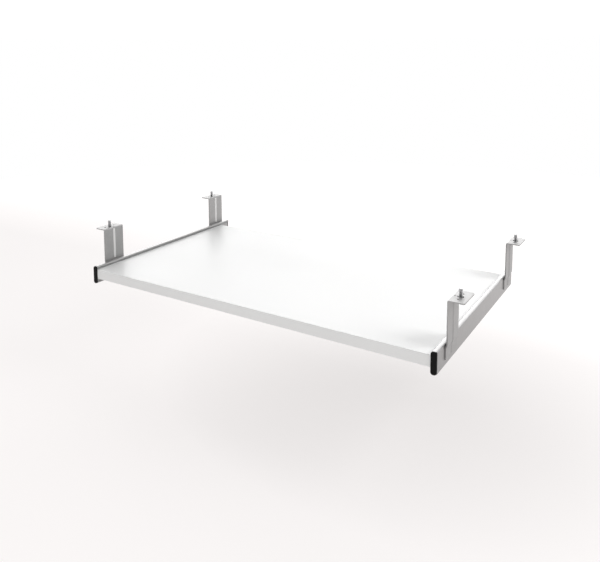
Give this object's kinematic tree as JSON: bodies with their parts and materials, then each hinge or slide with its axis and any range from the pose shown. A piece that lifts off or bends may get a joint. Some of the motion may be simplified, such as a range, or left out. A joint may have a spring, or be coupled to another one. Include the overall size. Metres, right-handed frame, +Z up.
{
  "type": "under desk drawer",
  "caption": "Pull-out tray on two ball-bearing rails, hung under a desk top from four screwed brackets with ribbed legs.",
  "frame": {"origin": "centre of the four desk screws, on the plane of the flanges' top faces, which is the underside of the desk", "axes": "+X to the user's right, +Y towards the back of the desk, +Z up through the desk; the tray slides out along -Y"},
  "size_m": [0.775, 0.432, 0.115],
  "materials": {
    "white_melamine": "satin",
    "white_edging": "satin",
    "rail_steel": "satin",
    "bracket_steel": "satin",
    "screw_steel": "bright",
    "cage_steel": "satin",
    "ball_steel": "polished",
    "black_plastic": "matte",
    "black_rubber": "matte"
  },
  "bodies": {
    "desk_frame": {"left_outer_rail": "rail_steel", "left_rear_buffer": "black_rubber", "front_left_bracket": "bracket_steel", "front_left_bracket_rivets": "screw_steel", "front_left_desk_screw": "screw_steel", "rear_left_bracket": "bracket_steel", "rear_left_bracket_rivets": "screw_steel", "rear_left_desk_screw": "screw_steel", "right_outer_rail": "rail_steel", "right_rear_buffer": "black_rubber", "front_right_bracket": "bracket_steel", "front_right_bracket_rivets": "screw_steel", "front_right_desk_screw": "screw_steel", "rear_right_bracket": "bracket_steel", "rear_right_bracket_rivets": "screw_steel", "rear_right_desk_screw": "screw_steel"},
    "tray": {"tray_core": "white_melamine", "front_edge_band": "white_edging", "rear_edge_band": "white_edging", "left_edge_band": "white_edging", "left_inner_rail": "rail_steel", "left_end_cap": "black_plastic", "left_tray_screws": "screw_steel", "right_edge_band": "white_edging", "right_inner_rail": "rail_steel", "right_end_cap": "black_plastic", "right_tray_screws": "screw_steel"},
    "left_cage": {"left_ball_cage": "cage_steel", "left_upper_balls": "ball_steel", "left_lower_balls": "ball_steel"},
    "right_cage": {"right_ball_cage": "cage_steel", "right_upper_balls": "ball_steel", "right_lower_balls": "ball_steel"}
  },
  "joints": [
    {"name": "tray_slide", "type": "slide", "parent": "desk_frame", "child": "tray", "axis": [0, -1, 0], "range_m": [0, 0.32]},
    {"name": "left_cage_slide", "type": "slide", "parent": "desk_frame", "child": "left_cage", "axis": [0, -1, 0], "range_m": [0, 0.16]},
    {"name": "right_cage_slide", "type": "slide", "parent": "desk_frame", "child": "right_cage", "axis": [0, -1, 0], "range_m": [0, 0.16]}
  ],
  "couplings": [
    {"joint": "left_cage_slide", "follows": "tray_slide", "ratio": 0.5},
    {"joint": "right_cage_slide", "follows": "tray_slide", "ratio": 0.5}
  ]
}
